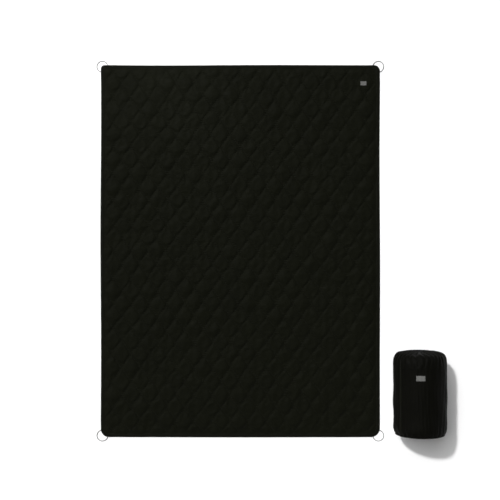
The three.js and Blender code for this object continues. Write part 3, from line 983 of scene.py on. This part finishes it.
def on_the_ground(points, clearance):
    """Keeps points of the shared frame off the ground, with a soft turn where the cloth meets it."""
    settled = points.copy()
    low = points[..., 2] - clearance
    soft = 1.5 * MM
    settled[..., 2] = clearance + soft * np.logaddexp(0, low / soft)
    return settled


def make_sack():
    around, along = SACK_GRID
    points = sack_cloth(around, along)
    faces = grid_faces(around, along, wrap_columns=True)
    cloth = new_mesh("sack_cloth", on_the_ground(sack_frame(points), 0.6 * MM), faces, sack_fabric)
    girth = 2 * math.pi * SACK_RADIUS
    profile = sack_profile(np.linspace(0, 1, along))
    cut = np.concatenate([[0], np.cumsum(np.hypot(np.diff(profile[0]), np.diff(profile[1])))])
    store_cloth(cloth, (np.arange(around) / around * girth)[:, None], cut)
    settle_sack(cloth, around, along)
    thicken(cloth, 0.5 * MM, -1)
    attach(cloth, "sack")
    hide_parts("sack_body")
    return cloth


def settle_sack(cloth, around, along):
    """Wrinkles the sack's cloth: its rest size is the ungathered tube, held at the base and at the mouth."""
    start = coordinates(cloth).reshape(around, along, 3)
    ring = np.zeros((around, along), bool)
    ring[:, 0] = True
    ring[:, -2:] = True
    settled = relax_cloth(cloth, ring, 12, grow=0.002, pressure=0.8, stiffness=14, bending=0.05)
    moved = settled.reshape(around, along, 3) - start
    length = np.maximum(np.linalg.norm(moved, axis=-1, keepdims=True), 1e-9)
    moved *= np.minimum(1, 2.5 * MM / length)
    set_coordinates(cloth, on_the_ground(start + moved, 0.6 * MM))


def torus(name, centres, section, finish):
    """A closed ring: at each centre an outline (points, 2) of offsets outwards and along the sack's axis."""
    outward = centres * (1, 0, 1)
    outward /= np.linalg.norm(outward, axis=-1, keepdims=True)
    axial = np.array([0.0, 1.0, 0.0])
    section = np.broadcast_to(section, (len(centres), *section.shape[-2:]))
    rings = centres[:, None] + outward[:, None] * section[..., :1] + axial * section[..., 1:]
    count = section.shape[1]
    faces = grid_faces(len(centres), count, wrap_columns=True, wrap_rows=True)
    return new_mesh(name, on_the_ground(sack_frame(rings), 0.3 * MM), faces, finish, closed=True)


def make_base():
    """The round base panel: domed, dented, and puckered at its edge."""
    rings, around = 40, 120
    theta = full_turn(around)
    share = np.linspace(0.004, 1, rings) ** 0.9
    radius = share * BASE_RADIUS
    y = np.interp(radius, [0, 60 * MM, 110 * MM, BASE_RADIUS], [0, 3 * MM, 9 * MM, BASE_RISE])
    flat = radius * np.cos(theta)[:, None], radius * np.sin(theta)[:, None]
    dents = waves(*flat, 70 * MM, 13) * 1.8 * MM + waves(*flat, 26 * MM, 14) * 0.5 * MM
    pucker = np.sin(53 * theta + 2 * np.sin(4 * theta))[:, None] * smoothstep(share, 0.78, 0.95)
    pucker = pucker * 1.1 * MM * (1 - smoothstep(share, 0.95, 1))
    axial = y + (dents + 1.5 * MM) * (1 - smoothstep(share, 0.75, 1)) + pucker
    panel = np.stack([flat[0], np.maximum(axial, 0.2 * MM), flat[1]], axis=-1)
    middle = panel.mean(axis=0)[0]
    outer = np.vstack([panel.transpose(1, 0, 2).reshape(-1, 3), middle[None]])
    faces = grid_faces(rings, around, wrap_rows=True).tolist()
    faces += [[rings * around, i, (i + 1) % around] for i in range(around)]
    base = new_mesh("sack_base", on_the_ground(sack_frame(outer), 0.5 * MM), faces, sack_fabric)
    store_cloth(base, outer[:, 0], outer[:, 2])
    thicken(base, 0.6 * MM, 0)
    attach(base, "sack")
    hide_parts("sack_base_panel")


def make_piping():
    theta = full_turn(240)
    centres = round_axis(theta, PIPING_RING, PIPING_Y)
    centres[:, 1] += 0.3 * MM * np.sin(9 * theta + 1) + 0.2 * MM * np.sin(23 * theta)
    angle = np.linspace(0, 2 * math.pi, 12, endpoint=False)
    bead = np.stack([np.cos(angle), np.sin(angle)], axis=-1) * PIPING_RADIUS
    gather = 1 + 0.10 * np.sin(61 * theta + 2 * np.sin(5 * theta))
    piping = torus("sack_piping", centres, bead[None] * gather[:, None, None], tape)
    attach(piping, "sack")
    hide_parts("sack_base_piping")


def laid_on_sack(cloth, theta, y):
    """Points on the sack's cloth at angles round it and places along it, and the way outwards at each."""
    way = round_axis(theta, 1.0, 0.0)
    return laid_on(cloth, sack_frame(round_axis(theta, 0.2, y)), -way), way


def make_side_seam(cloth):
    """The felled seam along the side with its two rows of stitches, laid on the cloth."""
    y = np.linspace(*SIDE_SEAM_ENDS, 98)
    turn = SEAM_ANGLE + 0.8 * MM / SACK_RADIUS * waves(0.0, y, 0.12, 15)
    across = np.array([-1, -0.96, -0.7, -0.35, 0, 0.35, 0.7, 0.96, 1]) * SIDE_SEAM_WIDTH / 2
    theta = turn[:, None] + across / SACK_RADIUS
    under, way = laid_on_sack(cloth, theta, y[:, None])
    crown = np.array([0.35, 0.9, 1.0, 0.75, 1.15, 0.75, 1.0, 0.9, 0.35]) * MM
    ripple = waves(3 * across[None], y[:, None], 15 * MM, 16)[..., None] * 0.12 * MM
    over = under + way * (crown[:, None] + ripple)
    seam = slab("sack_seam", over, under - way * 0.4 * MM, tape)
    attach(seam, "sack")
    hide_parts("sack_side_seam")
    for row, column in (("left", 3), ("right", 5)):
        path = over[:, column] + way[:, column] * 0.1 * MM
        stitch_row(f"sack_seam_stitches_{row}", path, "sack", thread, normal=way[len(way) // 2, column])


def make_sack_label(cloth):
    low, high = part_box("sack_label")
    middle = math.atan2((low.z + high.z) / 2 - SACK_AXIS.z, (low.x + high.x) / 2 - SACK_AXIS.x)
    across = np.linspace(-0.5, 0.5, 21) * SACK_LABEL_WIDTH
    y = np.linspace(low.y, high.y, 13) - SACK_AXIS.y
    theta = np.broadcast_to(middle - across[:, None] / SACK_RADIUS, (len(across), len(y)))
    under, way = laid_on_sack(cloth, theta, y)
    label = sew_label("sack_blank_label", "sack_label_stitches", "sack", under + way * 0.2 * MM, way)
    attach(label, "sack")
    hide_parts("sack_label")


def make_mouth():
    """The gathered channel at the mouth: a ruffled ring, with a slit towards the axis for the cord's ends."""
    theta = full_turn(540)
    centres = round_axis(theta, HEM_RING, DRAWCORD_Y)
    ruffle = np.sin(PLEATS * theta + 1.2 * np.sin(3 * theta))
    small = np.sin(2 * PLEATS * theta + 2 * np.sin(5 * theta))
    angle = np.linspace(math.radians(200), math.radians(520), 18)
    outline = np.stack([6.4 * np.cos(angle), 5.8 * np.sin(angle)], axis=-1) * MM
    inner = outline[::-1] * 0.86
    section = np.vstack([outline, inner])[None] * (1 + 0.12 * small)[:, None, None]
    swing = 0.5 * MM * ruffle
    outward = centres * (1, 0, 1) / HEM_RING
    centres = centres + outward * swing[:, None]
    centres[:, 1] += 0.4 * MM * np.sin(PLEATS * theta + 1.5)
    hem = torus("sack_mouth_channel", centres, section, sack_fabric)
    around_ring = np.arange(len(angle) * 2) / len(angle) * 34 * MM
    store_cloth(hem, (theta * SACK_RADIUS)[:, None], around_ring)
    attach(hem, "sack")
    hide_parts("sack_mouth_hem")


def make_drawcord():
    """The cord: up through the lock, once round in the channel, and back down through the lock."""
    strand = np.array([-14, 0, 15, 27]) * MM
    up = np.array([(-1.8 * MM, DRAWCORD_Y, z) for z in strand])
    down = up[::-1] * (-1, 1, 1)
    ring = round_axis(np.radians(np.arange(102, 439, 12)), DRAWCORD_RING, DRAWCORD_Y)
    path = sack_frame(smooth_path(np.vstack([up, ring, down]), 5))
    cord = tube("sack_cord", path, CORD_DIAMETER / 2, 12, cord_finish)
    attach(cord, "sack")
    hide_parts("sack_drawcord")


def make_spring():
    """The lock's return spring."""
    low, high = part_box("cord_lock_spring")
    wire = 0.35 * MM
    share = np.linspace(0, 1, 97)
    angle = share * SPRING_TURNS * 2 * math.pi
    radius = (high.x - low.x) / 2 - wire
    rise = np.interp(share, [0, 0.12, 0.88, 1], [0, 0.04, 0.96, 1])
    y = low.y + wire + (high.y - low.y - 2 * wire) * rise
    path = round_axis(angle, radius, y) + (SACK_AXIS.x, 0, SACK_AXIS.z)
    spring = tube("lock_spring", path, wire, 8, spring_steel)
    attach(spring, "sack")
    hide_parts("cord_lock_spring")
    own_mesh(spring)


def make_roll():
    """The quilt rolled up in the sack, with its turns as a spiral on the end that faces the mouth."""
    theta = full_turn(120)
    y = np.linspace(*ROLL_ENDS, 40)[:, None]
    side = np.interp(y, SACK_PROFILE[:8, 1], SACK_PROFILE[:8, 0]) - ROLL_GAP
    side = side + waves(SACK_RADIUS * theta, y, 0.1, 17) * 0.6 * MM
    shares = np.linspace(0.97, 0.02, 60)[:, None]
    end_radius = shares * side[-1]
    turns = np.cos(2 * math.pi * (end_radius / ROLL_TURN) - theta)
    dome = ROLL_ENDS[1] + 1.6 * MM * turns - 6 * MM * smoothstep(shares, 0.9, 1)
    points = np.vstack([round_axis(theta, side, y), round_axis(theta, end_radius, dome)])
    roll = swept("rolled_quilt", on_the_ground(sack_frame(points), 3 * MM), lining)
    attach(roll, "sack")
    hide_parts("packed_roll")


def refinish(node, finish):
    """Gives a CAD node that stays in view its material."""
    bpy.data.objects[node].data.materials.clear()
    bpy.data.objects[node].data.materials.append(finish)


make_camera()
for turn, corner in enumerate(CORNERS):
    make_loop(turn, corner)
make_light()
make_ground()
face, face_points = make_face()
make_quilting(face_points)
make_back()
make_wadding(face_points)
make_tape()
make_label(face)
sack = make_sack()
make_base()
make_piping()
make_side_seam(sack)
make_sack_label(sack)
make_mouth()
make_drawcord()
make_spring()
make_roll()
refinish("cord_lock_barrel", lock_plastic)
refinish("cord_lock_button", lock_plastic)
